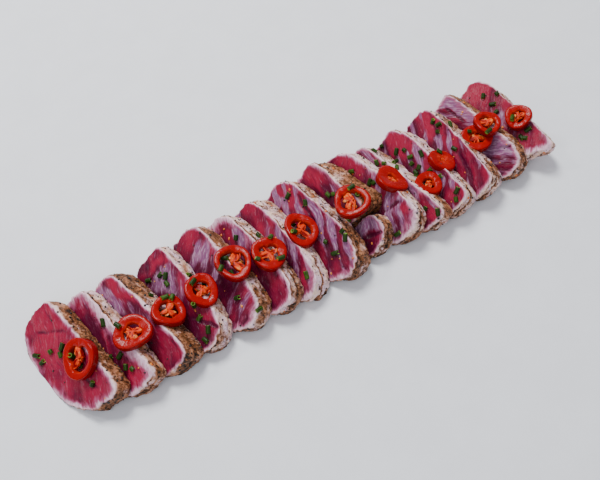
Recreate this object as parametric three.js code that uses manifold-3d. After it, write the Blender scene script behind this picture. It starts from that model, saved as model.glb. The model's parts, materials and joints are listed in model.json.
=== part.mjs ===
// A seared tuna loin cut into fifteen slices that lie fanned in one row, each leaning on the
// next, with chilli rings laid along the middle and chopped chives strewn over all.
// Millimetres, +Z up. X runs along the row, Y across it from the near side to the far side.
import * as THREE from "three";
import { mergeVertices } from "three/addons/utils/BufferGeometryUtils.js";
import Module from "manifold-3d";

const wasm = await Module();
wasm.setup();

// Driving dimensions
const GAP = 0.3; // between pieces that touch
const REFERENCE_Y = -4.5; // where along its length each slice's upper edge is given
const ROW_MIDDLE = new THREE.Vector2(2.29, -2.015); // middle of the row, in the slices' own x and y
const EDGE_ROUNDING = 1.1; // of a cut edge
const CRUST_BULGE = 0.5; // how far the seared side swells between its two edges
const UNEVENNESS = 0.55; // of a slice's outline
const SINK = 2.5; // how far a slice's soft lower side would sink below its flat underside
const SIDE_STEPS = [10, 4, 4, 5]; // points along a slice's upper edge, far end, lower edge and near end
const CHIVE_RADIUS = 1.15;
const CHIVE_LENGTH = { least: 2.2, spread: 2.6 };
const CHIVE_SIDES = 5;
const CHIVE_SUNK = 0.45; // share of its radius that a chive lies in what carries it
const GOLDEN = 0.618034; // spreads turns and lengths evenly with no two alike
// Where the chives were sighted from, and the level their places are given at
const EYE = new THREE.Vector3(-99.9, -153.3, 317);
const SIGHT_LEVEL = 12;

// Each slice: its upper front edge in x and z at REFERENCE_Y, how far its cut face leans from level
// and is turned in plan, its thickness, how far its seared side climbs for each millimetre of
// thickness at the near and the far end, where it ends in y on the near and the far side, by how
// much its lower edge falls short of these, and how square its corners are: upper near, upper far,
// lower near and lower far (2 is round, 9 is square).
const SLICES = [
  ["slice_01", -117.5, 17.1, 36.5, 9, 10.4, 0, 0, -28.8, 31.2, 2, 1, 7, 8, 1.7, 2.2],
  ["slice_02", -101.6, 16.5, 36.8, 10.5, 10.5, 0, 0, -30.8, 27.6, 1, 1, 7, 8, 1.9, 2.3],
  ["slice_03", -85.2, 16.8, 40, 12, 13.8, 0, 0.08, -31, 29.8, 0, 5, 8, 6, 1.9, 2.2],
  ["slice_04", -61.2, 16.7, 36.5, 6.5, 11.4, 0, 0, -30.8, 29.2, 1, 2, 3, 9, 1.9, 2],
  ["slice_05", -40.5, 19.4, 40.4, 7.3, 11.6, 0, 0, -31.5, 29.7, 0, 2.4, 2.7, 6, 1.9, 2.1],
  ["slice_06", -23.9, 18.7, 42, 6.5, 11.8, 0, 0, -31.8, 28.6, 0, 0, 4, 3.4, 1.9, 2.3],
  ["slice_07", -8.6, 16.5, 41.4, 6.1, 12.5, 0, 0.24, -34.3, 29.6, 1, 5, 2.6, 5, 1.9, 2.2],
  ["slice_08", 13.4, 20.8, 45.7, 7.3, 12.7, 0, 0, -35.4, 28.4, 0, 2, 2.6, 4, 2.1, 2.2],
  ["slice_09_upper", 30.7, 22.1, 50, 10, 17, 0.38, 0, -12, 29, 0, 6, 6, 4, 1.9, 2],
  ["slice_09_lower", 33.5, 17.1, 49, 2, 10.2, 0, 0, -30.4, -12.5, 0, 0, 2.6, 3, 2, 2.3],
  ["slice_10", 49.6, 21.9, 47.1, 9.5, 10.9, 0, 0, -34.8, 27.4, 2, 1, 3, 3.4, 2, 2.3],
  ["slice_11", 60.9, 18.1, 48, 11, 13.4, 0, 0, -34.8, 23.9, 0, 3, 6, 6, 1.9, 2.1],
  ["slice_12", 80.6, 19, 46.4, 3.9, 13.4, 0, 0.05, -34.4, 25.4, 1, 2, 8, 3.4, 1.9, 2.2],
  ["slice_13", 99.7, 20.5, 49.5, 1.3, 14.4, 0, 0, -34.6, 25.8, 2, 2, 5, 5, 1.9, 2.3],
  ["slice_14", 119.9, 19.8, 48.5, 7, 13.8, 0.05, 0, -33.8, 27.4, 2, 7, 3.2, 7, 1.8, 2.2],
  ["slice_15", 141.9, 18.2, 37.2, 1.6, 10.7, 0, 0, -34.6, 28.8, 14, 7, 8, 4, 2.4, 2.1],
].map(([name, x, z, lean, turn, thick, nearRise, farRise, near, far, nearCut, farCut, ...corners]) => {
  const [rise, ends, cut] = [[nearRise, farRise], [near, far], [nearCut, farCut]];
  return { name, edge: [x, z], lean, turn, thick, rise, ends, cut, corners };
});

// Each chilli ring: where it was sighted, its height above the ground, its tilt to the left and to
// the near side, its two radii, the share of the radius that its hole takes, and its pale webs.
const RINGS = [
  { spot: [-122.9, -3.3], height: 15.6, tilt: [34, 0], radii: [9.5, 9.8], hole: 0.64, webs: 2 },
  { spot: [-97, -5], height: 18.2, tilt: [2, 0], radii: [9.4, 8.3], hole: 0.48, webs: 3 },
  { spot: [-77.9, -4.5], height: 15, tilt: [-16, 0], radii: [8.3, 8.4], hole: 0.56, webs: 3 },
  { spot: [-59.3, -3.4], height: 17.4, tilt: [-8, 8], radii: [7.9, 8.8], hole: 0.52, webs: 3 },
  { spot: [-38.6, 1.2], height: 20.2, tilt: [-4, 0], radii: [8.8, 9.9], hole: 0.68, webs: 2 },
  { spot: [-21.1, -4.2], height: 19.2, tilt: [-4, 4], radii: [8.8, 9], hole: 0.55, webs: 4 },
  { spot: [-0.2, -1.4], height: 15.4, tilt: [-6, 6], radii: [8.1, 9.9], hole: 0.6, webs: 3 },
  { spot: [31.6, -1.2], height: 23.4, tilt: [6, 0], radii: [9.3, 9.1], hole: 0.64, webs: 2 },
  { spot: [57.1, -1.6], height: 19.4, tilt: [-26, 0], radii: [8.8, 9], hole: 0.3, webs: 2 },
  { spot: [72, -14.3], height: 14.6, tilt: [-4, 0], radii: [7.3, 7.3], hole: 0.42, webs: 2 },
  { spot: [87.4, -6.3], height: 16.4, tilt: [-20, 0], radii: [7.7, 7.5], hole: 0, webs: 0 },
  { spot: [113.6, -4.8], height: 17, tilt: [4, 0], radii: [9.4, 8.3], hole: 0.5, webs: 4 },
  { spot: [125, 0], height: 21.4, tilt: [2, 0], radii: [7, 7.6], hole: 0.6, webs: 2 },
  { spot: [142.9, -5.9], height: 18.8, tilt: [24, 0], radii: [7.3, 7.2], hole: 0.5, webs: 3 },
];
const RING_THICKNESS = 4.2;
const RING_ROUNDING = 0.9;
const RING_LOBES = 0.05; // how far a ring strays from an oval, as a share of its radius
const RING_STEPS = 14;
const WEB = { width: 2.2, height: 2.4 };
const HUB_RADIUS = 2.1;

// Where the chives were sighted, at SIGHT_LEVEL, from the left end of the row to the right
const CHIVE_SPOTS = [
  [-133, 7], [-139, 8.6], [-138, 4.3], [-127.5, 6.4], [-129.6, 3.2], [-124, -7], [-126, 0],
  [-123, -17.5], [-106.4, 7.1], [-101.4, 2.1], [-110.7, -10.4], [-106.8, -12.1], [-107, -18.6],
  [-105, -21], [-78.2, 15.4], [-72, 14.9], [-70, 12.9], [-71.4, 8.9], [-81.4, 7.5], [-76, 2.9],
  [-73.2, 1.1], [-79, -5], [-78, -7], [-61, 7.1], [-60.8, 3], [-57.5, -2], [-60.4, -3.8],
  [-65.7, -7.9], [-66.8, -15.7], [-66.4, -23.2], [-70, -27.1], [-46.4, -16.4], [-41.4, -27.1],
  [-30, 12.9], [-20.7, 7.9], [-41, 6], [-39, 2], [-45.5, 2], [-42, -3.5], [-27.5, -3.5],
  [-17.5, -9.5], [-15.4, 3.6], [-11.8, -24.3], [-2.5, 4], [-4, 0], [5.7, 20], [11.1, 11.4],
  [6.8, -13.6], [7.1, -21.8], [17.1, -13.2], [16.4, -17.1], [23.8, 9.1], [26.4, 7.9], [36.4, 6.4],
  [36.8, 0.7], [22.9, -8.6], [42.9, 14.6], [48.2, 2.1], [46.8, 3.6], [57.5, 12.1], [60.7, 9.3],
  [40, -30], [61.1, -25.7], [65.4, -30.7], [60.6, 19.2], [66.4, 19.4],
  [65.4, 6.8], [64, 3], [75, 10.4], [75, 5], [72.9, 1.1], [70.7, 12], [71.4, -4.6], [70, -7],
  [77.9, -7.9], [74.6, -3], [81.4, 3.6], [90, -0.7], [80.4, -13.9], [82.1, -25.7], [78.2, -30],
  [98.6, 10.4], [102.1, 14.3], [101, 17.9], [106.8, 10.7], [98.6, -3.6], [113, 1], [122, -4.5],
  [136.4, 16.4], [144.3, 13.6], [137.1, 8.9], [135, 3.6], [139, -4.5], [134.6, -17.9], [136, -19.4],
  [141.4, -15.7],
];

const flesh = (color) => new THREE.MeshStandardMaterial({ color, roughness: 0.45, metalness: 0 });
const SLICE_MATERIAL = flesh(0xa8405a);
const CHILLI_MATERIAL = new THREE.MeshStandardMaterial({ color: 0xd51805, roughness: 0.25, metalness: 0 });

// A closed mesh of triangles becomes a solid for joining and cutting
function solidFrom(positions, triangles) {
  return new wasm.Manifold(
    new wasm.Mesh({
      numProp: 3,
      vertProperties: new Float32Array(positions),
      triVerts: new Uint32Array(triangles),
    }),
  );
}

// A geometry becomes a solid
function solidFromGeometry(geometry) {
  geometry.deleteAttribute("normal");
  geometry.deleteAttribute("uv");
  const merged = mergeVertices(geometry, 1e-4);
  return solidFrom(merged.attributes.position.array, merged.index.array);
}

// A solid becomes a named mesh
function meshFrom(solid, name, material) {
  const { numProp, vertProperties, triVerts } = solid.getMesh();
  const positions = [];
  for (let i = 0; i < vertProperties.length; i += numProp) {
    positions.push(vertProperties[i], vertProperties[i + 1], vertProperties[i + 2]);
  }
  const geometry = new THREE.BufferGeometry();
  geometry.setAttribute("position", new THREE.BufferAttribute(new Float32Array(positions), 3));
  geometry.setIndex(new THREE.BufferAttribute(new Uint32Array(triVerts), 1));
  geometry.computeVertexNormals();
  const mesh = new THREE.Mesh(geometry, material);
  mesh.name = name;
  return mesh;
}

// A slice's own axes: along its length, up its leaning face, and into its thickness
function axesOf(slice) {
  const lean = THREE.MathUtils.degToRad(slice.lean);
  const turn = THREE.MathUtils.degToRad(slice.turn);
  const along = new THREE.Vector3(-Math.sin(turn), Math.cos(turn), 0);
  const up = new THREE.Vector3(Math.cos(turn), Math.sin(turn), Math.tan(lean)).normalize();
  const inward = new THREE.Vector3().crossVectors(up, along).negate();
  const start = new THREE.Vector3(slice.edge[0], REFERENCE_Y, slice.edge[1]);
  return { along, up, inward, start };
}

// A slow wave round the outline, different on each slice, between -1 and 1
function waver(turnShare, seed) {
  const angle = 2 * Math.PI * turnShare;
  const slow = 0.5 * Math.sin(3 * angle + 1.7 * seed);
  const quicker = 0.3 * Math.sin(5 * angle + 2.9 * seed);
  const quick = 0.2 * Math.sin(9 * angle + 4.1 * seed);
  return slow + quicker + quick;
}

// Where a slice ends along its own length, from REFERENCE_Y
function endsOf(slice) {
  const { along } = axesOf(slice);
  return slice.ends.map((end) => (end - REFERENCE_Y) / along.y);
}

// A point of a slice's outline: a point of its bounding rectangle drawn in towards the middle
// until it lies on a superellipse, whose power is the corner's squareness, and then drawn in
// along the slice the more the lower it lies
function outlinePoint(slice, share, seed) {
  const [near, far] = endsOf(slice);
  const reach = slice.edge[1] / Math.sin(THREE.MathUtils.degToRad(slice.lean)) + SINK;
  const half = { u: (far - near) / 2, v: reach / 2 };
  const walk = share * 4;
  const side = Math.floor(walk) % 4;
  const run = 2 * (walk - Math.floor(walk)) - 1;
  const corners = [
    [run * half.u, half.v],
    [half.u, -run * half.v],
    [-run * half.u, -half.v],
    [-half.u, run * half.v],
  ];
  const [u, v] = corners[side];
  const power = slice.corners[(v > 0 ? 0 : 2) + (u < 0 ? 0 : 1)];
  const pull = (Math.abs(u / half.u) ** power + Math.abs(v / half.v) ** power) ** (-1 / power);
  const radius = Math.hypot(u, v) * pull;
  const grown = 1 + (UNEVENNESS * waver(share, seed)) / radius;
  const middle = { u: (near + far) / 2, v: -half.v };
  const lowness = (1 - (v * pull * grown) / half.v) / 2;
  const shorter = 1 - (slice.cut[u < 0 ? 0 : 1] * lowness) / half.u;
  return { u: middle.u + u * pull * grown * shorter, v: middle.v + v * pull * grown, middle };
}

// Evenly spaced places round the outline, with more on the two long sides and one on each corner
const OUTLINE_SHARES = SIDE_STEPS.flatMap((steps, side) =>
  Array.from({ length: steps }, (_, i) => (side + i / steps) / 4),
);

// A slice: rings of points from the middle of its cut face, over the seared side, to the middle of
// its hidden back. The back lies against the next slice's face and the lower side on level ground.
function sliceSolid(slice, next, seed, grow) {
  const { along, up, inward, start } = axesOf(slice);
  const rest = next && axesOf(next);
  const sine = up.z;
  const fall = -inward.z;
  const thick = slice.thick;
  const [near, far] = endsOf(slice);
  const rings = [
    { share: 0.6, inset: 0, depth: -grow },
    { share: 1, inset: EDGE_ROUNDING * 0.8 - grow, depth: -grow },
    { share: 1, inset: -grow, depth: EDGE_ROUNDING },
    { share: 1, inset: -CRUST_BULGE - grow, depth: thick / 2 },
    { share: 1, inset: -grow, depth: thick - EDGE_ROUNDING },
    { share: 1, inset: EDGE_ROUNDING * 0.8 - grow, depth: thick + grow },
  ];
  const place = (u, v, depth) => {
    const rise = THREE.MathUtils.mapLinear(u, near, far, ...slice.rise);
    let d = depth;
    let height = v;
    for (let pass = 0; pass < 3; pass++) {
      height = Math.max(v + rise * Math.max(d, 0), (d * fall - slice.edge[1] - grow) / sine);
      if (!rest) {
        continue;
      }
      const slid = u - (height * up.y) / along.y;
      const onFace = start.clone().addScaledVector(along, slid).addScaledVector(up, height);
      const clear = onFace.sub(rest.start).dot(rest.inward) * -1 - GAP + grow;
      d = Math.min(depth, clear / inward.dot(rest.inward));
    }
    const drift = (height * up.y + d * inward.y) / along.y;
    const point = start.clone().addScaledVector(along, u - drift);
    return point.addScaledVector(up, height).addScaledVector(inward, d);
  };
  const positions = [];
  const triangles = [];
  const middle = outlinePoint(slice, 0, seed).middle;
  positions.push(...place(middle.u, middle.v, -grow).toArray());
  for (const ring of rings) {
    for (const share of OUTLINE_SHARES) {
      const point = outlinePoint(slice, share, seed);
      const du = point.u - middle.u;
      const dv = point.v - middle.v;
      const scale = ring.share * (1 - ring.inset / Math.hypot(du, dv));
      positions.push(...place(middle.u + du * scale, middle.v + dv * scale, ring.depth).toArray());
    }
  }
  positions.push(...place(middle.u, middle.v, thick + grow).toArray());
  const last = positions.length / 3 - 1;
  const index = (ring, i) => 1 + ring * OUTLINE_SHARES.length + (i % OUTLINE_SHARES.length);
  for (let i = 0; i < OUTLINE_SHARES.length; i++) {
    triangles.push(0, index(0, i), index(0, i + 1));
    for (let ring = 0; ring < rings.length - 1; ring++) {
      triangles.push(index(ring, i), index(ring + 1, i + 1), index(ring, i + 1));
      triangles.push(index(ring, i), index(ring + 1, i), index(ring + 1, i + 1));
    }
    triangles.push(last, index(rings.length - 1, i + 1), index(rings.length - 1, i));
  }
  return solidFrom(positions, triangles);
}

// What a slice's back lies on: the next slice along, and for both parts of the broken one the tenth
function neighbourOf(i) {
  if (SLICES[i].name === "slice_09_upper") {
    return SLICES[i + 2];
  }
  return SLICES[i + 1];
}

// The point at a given height on the line from the eye through a spot sighted at SIGHT_LEVEL
function sighted([x, y], height) {
  const spot = new THREE.Vector3(x, y, SIGHT_LEVEL);
  return spot.sub(EYE).multiplyScalar((EYE.z - height) / (EYE.z - SIGHT_LEVEL)).add(EYE);
}

// The largest body of a solid, without the scraps that a cut may leave
function wholeOf(solid) {
  return solid.decompose().reduce((best, body) => (body.volume() > best.volume() ? body : best));
}

// A chilli ring about the origin: a rounded wall carried round a slightly three-sided oval, with
// webs from a hub in its hole to the wall. An end piece has no hole but a shallow dimple.
function ringShape(ring, seed, grow) {
  const half = RING_THICKNESS / 2;
  const [a, b] = ring.radii;
  const inner = ring.hole > 0 ? ring.hole - grow / b : 0;
  const wall = [
    [1 + (grow - RING_ROUNDING / 2) / b, -half - grow],
    [1 + grow / b, 0],
    [1 + (grow - RING_ROUNDING) / b, half + grow],
    [Math.max(inner, 0.35) + RING_ROUNDING / 2 / b, half + grow],
  ];
  if (ring.hole > 0) {
    wall.push([inner, half - RING_ROUNDING], [inner + RING_ROUNDING / 2 / b, -half - grow]);
  }
  const positions = [];
  for (const [share, z] of wall) {
    for (let i = 0; i < RING_STEPS; i++) {
      const angle = (2 * Math.PI * i) / RING_STEPS;
      const stray = 1 + RING_LOBES * Math.cos(3 * angle + seed);
      positions.push(a * share * stray * Math.cos(angle), b * share * stray * Math.sin(angle), z);
    }
  }
  const triangles = [];
  const index = (row, i) => (row % wall.length) * RING_STEPS + (i % RING_STEPS);
  const bands = ring.hole > 0 ? wall.length : wall.length - 1;
  for (let row = 0; row < bands; row++) {
    for (let i = 0; i < RING_STEPS; i++) {
      triangles.push(index(row, i), index(row, i + 1), index(row + 1, i + 1));
      triangles.push(index(row, i), index(row + 1, i + 1), index(row + 1, i));
    }
  }
  if (ring.hole === 0) {
    const low = positions.length / 3;
    positions.push(0, 0, -half - grow, 0, 0, half + grow - RING_ROUNDING);
    for (let i = 0; i < RING_STEPS; i++) {
      triangles.push(low, index(0, i + 1), index(0, i));
      triangles.push(low + 1, index(wall.length - 1, i), index(wall.length - 1, i + 1));
    }
  }
  let shape = solidFrom(positions, triangles);
  if (ring.webs > 0) {
    shape = shape.add(solidFromGeometry(new THREE.OctahedronGeometry(HUB_RADIUS + grow)));
  }
  for (let web = 0; web < ring.webs; web++) {
    const reach = (ring.hole * (a + b)) / 2 + RING_ROUNDING;
    const bar = new THREE.BoxGeometry(reach, WEB.width + 2 * grow, WEB.height + 2 * grow);
    bar.translate(reach / 2, 0, 0);
    bar.rotateZ(seed + (2 * Math.PI * web) / Math.max(ring.webs, 3));
    shape = shape.add(solidFromGeometry(bar));
  }
  return shape;
}

// A ring in its place: tilted, lifted to its height, and pressed on what lies beneath it
function ringSolid(ring, seed, grow) {
  const [left, near] = ring.tilt.map(THREE.MathUtils.degToRad);
  const place = new THREE.Matrix4().makeRotationFromEuler(new THREE.Euler(near, -left, 0));
  place.setPosition(sighted(ring.spot, ring.height));
  return ringShape(ring, seed, grow).transform(place.elements);
}

// A cut length of chive: a short five-sided stem lying where the line of sight meets the food
function chiveSolid(hit, order) {
  const length = CHIVE_LENGTH.least + CHIVE_LENGTH.spread * ((order * GOLDEN) % 1);
  const stem = new THREE.CylinderGeometry(CHIVE_RADIUS, CHIVE_RADIUS, length, CHIVE_SIDES);
  const angle = 2 * Math.PI * order * GOLDEN;
  const heading = new THREE.Vector3(Math.cos(angle), Math.sin(angle), 0);
  heading.cross(hit.face.normal).normalize();
  stem.applyQuaternion(new THREE.Quaternion().setFromUnitVectors(new THREE.Vector3(0, 1, 0), heading));
  const middle = hit.point.clone().addScaledVector(hit.face.normal, CHIVE_RADIUS * (1 - CHIVE_SUNK));
  stem.translate(middle.x, middle.y, middle.z);
  return solidFromGeometry(stem);
}

// Every piece as it lies, and a copy grown by the gap, which what lies on it or by it is cut with
const pieces = SLICES.map((slice, i) => ({
  name: slice.name,
  material: SLICE_MATERIAL,
  solid: sliceSolid(slice, neighbourOf(i), i + 1, 0),
  grown: sliceSolid(slice, neighbourOf(i), i + 1, GAP),
}));
RINGS.forEach((ring, i) => {
  let solid = ringSolid(ring, i + 1, 0);
  for (const piece of pieces) {
    solid = solid.subtract(piece.grown);
  }
  pieces.push({
    name: `chilli_ring_${String(i + 1).padStart(2, "0")}`,
    material: CHILLI_MATERIAL,
    solid: wholeOf(solid),
    grown: ringSolid(ring, i + 1, GAP),
  });
});

// Chives are joined to the piece that each lies on, apart from those that would cross another
const targets = pieces.map((piece) => meshFrom(piece.solid, piece.name, piece.material));
CHIVE_SPOTS.forEach((spot, order) => {
  const direction = sighted(spot, 0).sub(EYE).normalize();
  const [hit] = new THREE.Raycaster(EYE, direction).intersectObjects(targets);
  if (!hit) {
    return;
  }
  const carrier = pieces[targets.indexOf(hit.object)];
  const chive = chiveSolid(hit, order);
  const crossed = pieces.some((piece) => piece !== carrier && chive.intersect(piece.grown).volume() > 0);
  if (!crossed) {
    carrier.solid = wholeOf(carrier.solid.add(chive));
  }
});

const row = new THREE.Group();
for (const piece of pieces) {
  row.add(meshFrom(piece.solid, piece.name, piece.material));
}
row.position.set(-ROW_MIDDLE.x, -ROW_MIDDLE.y, 0);

const part = new THREE.Group();
part.add(row);

export default part;
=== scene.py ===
import json
import math
from collections import namedtuple

import bpy
import numpy as np
from mathutils import Matrix, Vector
from mathutils.bvhtree import BVHTree

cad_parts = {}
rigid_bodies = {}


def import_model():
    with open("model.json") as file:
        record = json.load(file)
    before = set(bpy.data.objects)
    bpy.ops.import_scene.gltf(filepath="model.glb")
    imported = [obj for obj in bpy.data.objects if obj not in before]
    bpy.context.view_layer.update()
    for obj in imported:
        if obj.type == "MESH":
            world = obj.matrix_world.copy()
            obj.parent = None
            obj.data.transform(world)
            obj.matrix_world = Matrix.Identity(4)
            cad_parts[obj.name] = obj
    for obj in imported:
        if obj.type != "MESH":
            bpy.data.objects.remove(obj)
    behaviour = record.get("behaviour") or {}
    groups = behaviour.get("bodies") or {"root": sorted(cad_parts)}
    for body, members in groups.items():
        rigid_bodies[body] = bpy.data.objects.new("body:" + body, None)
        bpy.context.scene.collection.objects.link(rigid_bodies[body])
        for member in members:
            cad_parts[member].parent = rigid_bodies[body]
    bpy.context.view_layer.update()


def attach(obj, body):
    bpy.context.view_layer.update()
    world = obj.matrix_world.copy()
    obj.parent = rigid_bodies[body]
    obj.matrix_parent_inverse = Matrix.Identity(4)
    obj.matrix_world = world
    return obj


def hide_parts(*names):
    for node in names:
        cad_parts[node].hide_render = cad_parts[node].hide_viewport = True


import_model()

bl_info = {
    "name": "Seared tuna row",
    "version": (1, 0, 0),
    "blender": (4, 5, 0),
    "location": "3D View > Sidebar > Tuna",
    "description": "A fanned row of seared tuna slices with chilli rings and chopped chives",
    "category": "Add Mesh",
}

# Tables and surfaces are in millimetres, and become metres when a mesh is made. They count from a
# mark beside the row's middle, where the frame has its origin.
ROW_MIDDLE = np.array([2.29, -2.015, 0])
REFERENCE_Y = -4.5

# The camera, the height that sighted spots are given at, and the golden section, which spreads the
# lengths and turns of the chives evenly
EYE = np.array([-99.9, -153.3, 317])
SIGHT_LEVEL = 12
GOLDEN = 0.618034

# Slices: the gap between neighbours, the rounding of a cut edge and how far it draws in, how far a
# seared side swells and an outline wavers, the pitch of the muscle bands, how far a slice would reach
# below the floor, and its steps over the cut face, down the seared side and round the outline
GAP = 0.3
EDGE_ROUNDING = 1.1
EDGE_INSET = 0.8 * EDGE_ROUNDING
CRUST_BULGE = 0.5
UNEVENNESS = 0.55
BAND_PITCH = 7
SINK = 2.5
FACE_STEPS = 26
CRUST_STEPS = 15
ROUND_STEPS = 240

# Each slice: its upper front edge in x and z at REFERENCE_Y, lean, turn, thickness, near and far end
# in y, by how much the lower edge falls short of these, the squareness of the upper near, upper far,
# lower near and lower far corner, and, for some, the rise of the seared side per millimetre of
# thickness at the near and far end
Slice = namedtuple("Slice", "x z lean turn thick ends cuts corners rises", defaults=[(0, 0)])
SLICES = {
    "slice_01": Slice(-117.5, 17.1, 36.5, 9, 10.4, (-28.8, 31.2), (2, 1), (7, 8, 1.7, 2.2)),
    "slice_02": Slice(-101.6, 16.5, 36.8, 10.5, 10.5, (-30.8, 27.6), (1, 1), (7, 8, 1.9, 2.3)),
    "slice_03": Slice(-85.2, 16.8, 40, 12, 13.8, (-31, 29.8), (0, 5), (8, 6, 1.9, 2.2), (0, 0.08)),
    "slice_04": Slice(-61.2, 16.7, 36.5, 6.5, 11.4, (-30.8, 29.2), (1, 2), (3, 9, 1.9, 2)),
    "slice_05": Slice(-40.5, 19.4, 40.4, 7.3, 11.6, (-31.5, 29.7), (0, 2.4), (2.7, 6, 1.9, 2.1)),
    "slice_06": Slice(-23.9, 18.7, 42, 6.5, 11.8, (-31.8, 28.6), (0, 0), (4, 3.4, 1.9, 2.3)),
    "slice_07": Slice(-8.6, 16.5, 41.4, 6.1, 12.5, (-34.3, 29.6), (1, 5), (2.6, 5, 1.9, 2.2), (0, 0.24)),
    "slice_08": Slice(13.4, 20.8, 45.7, 7.3, 12.7, (-35.4, 28.4), (0, 2), (2.6, 4, 2.1, 2.2)),
    "slice_09_upper": Slice(30.7, 22.1, 50, 10, 17, (-12, 29), (0, 6), (6, 4, 1.9, 2), (0.38, 0)),
    "slice_09_lower": Slice(33.5, 17.1, 49, 2, 10.2, (-30.4, -12.5), (0, 0), (2.6, 3, 2, 2.3)),
    "slice_10": Slice(49.6, 21.9, 47.1, 9.5, 10.9, (-34.8, 27.4), (2, 1), (3, 3.4, 2, 2.3)),
    "slice_11": Slice(60.9, 18.1, 48, 11, 13.4, (-34.8, 23.9), (0, 3), (6, 6, 1.9, 2.1)),
    "slice_12": Slice(80.6, 19, 46.4, 3.9, 13.4, (-34.4, 25.4), (1, 2), (8, 3.4, 1.9, 2.2), (0, 0.05)),
    "slice_13": Slice(99.7, 20.5, 49.5, 1.3, 14.4, (-34.6, 25.8), (2, 2), (5, 5, 1.9, 2.3)),
    "slice_14": Slice(119.9, 19.8, 48.5, 7, 13.8, (-33.8, 27.4), (2, 7), (3.2, 7, 1.8, 2.2), (0.05, 0)),
    "slice_15": Slice(141.9, 18.2, 37.2, 1.6, 10.7, (-34.6, 28.8), (14, 7), (8, 4, 2.4, 2.1)),
}

# How each slice looks: the direction of its muscle bands in degrees from its length, the share of
# painted lilac sheen at the near and far end, width of the pale rim at the upper edge, near end,
# far end and lower edge, browning of the seared side at the near end, in the middle and at the far
# end, and how clearly red bands and bands of painted lilac sheen take turns
Look = namedtuple("Look", "bands lilac rims browning stripes")
LOOKS = {
    "slice_01": Look(28, (0.08, 0.15), (2.6, 4.5, 0.8, 4.4), (0.85, 0.8, 0.75), 0.05),
    "slice_02": Look(25, (0.3, 0.1), (7, 4, 4, 2), (0.5, 0.15, 0.35), 0.15),
    "slice_03": Look(20, (0.1, 0.4), (2, 1.6, 2, 1.4), (0.8, 0.45, 0.85), 0.15),
    "slice_04": Look(38, (0.2, 0.45), (2, 2.2, 1, 1.6), (0.4, 0.05, 0.2), 0.1),
    "slice_05": Look(62, (0.5, 0.4), (2, 4.6, 0.8, 1.2), (0.5, 0.6, 0.6), 0.3),
    "slice_06": Look(30, (0.15, 0.6), (2.8, 3, 7, 1.2), (0.55, 0.5, 0.45), 0.2),
    "slice_07": Look(34, (0.6, 0.4), (1.6, 7, 1, 1.2), (0.2, 0.2, 0.45), 0.4),
    "slice_08": Look(32, (0.55, 0.55), (1.6, 3.6, 1.6, 1.2), (0.75, 0.5, 0.3), 0.55),
    "slice_09_upper": Look(20, (0.5, 0.15), (2.6, 2, 2, 1.4), (0.95, 0.75, 0.7), 0.15),
    "slice_09_lower": Look(35, (0.5, 0.9), (1.5, 2, 1, 1.2), (0.75, 0.7, 0.6), 0.1),
    "slice_10": Look(52, (0.7, 0.35), (2.2, 5, 1.4, 2), (0.35, 0.3, 0.4), 0.35),
    "slice_11": Look(26, (0.3, 0.6), (2, 1.8, 2.4, 1.4), (0.5, 0.3, 0.5), 0.3),
    "slice_12": Look(36, (0.3, 0.5), (1.4, 2.4, 1.6, 1.4), (0.35, 0.25, 0.25), 0.5),
    "slice_13": Look(33, (0.3, 0.4), (1.2, 3.6, 1, 1.4), (0.45, 0.4, 0.35), 0.65),
    "slice_14": Look(-40, (0.7, 0.7), (2.6, 3, 2.4, 3.6), (0.7, 0.6, 1), 0.25),
    "slice_15": Look(44, (0.35, 0.2), (0.8, 8, 0.8, 2), (0.3, 0.2, 0.2), 0.25),
}
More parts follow.
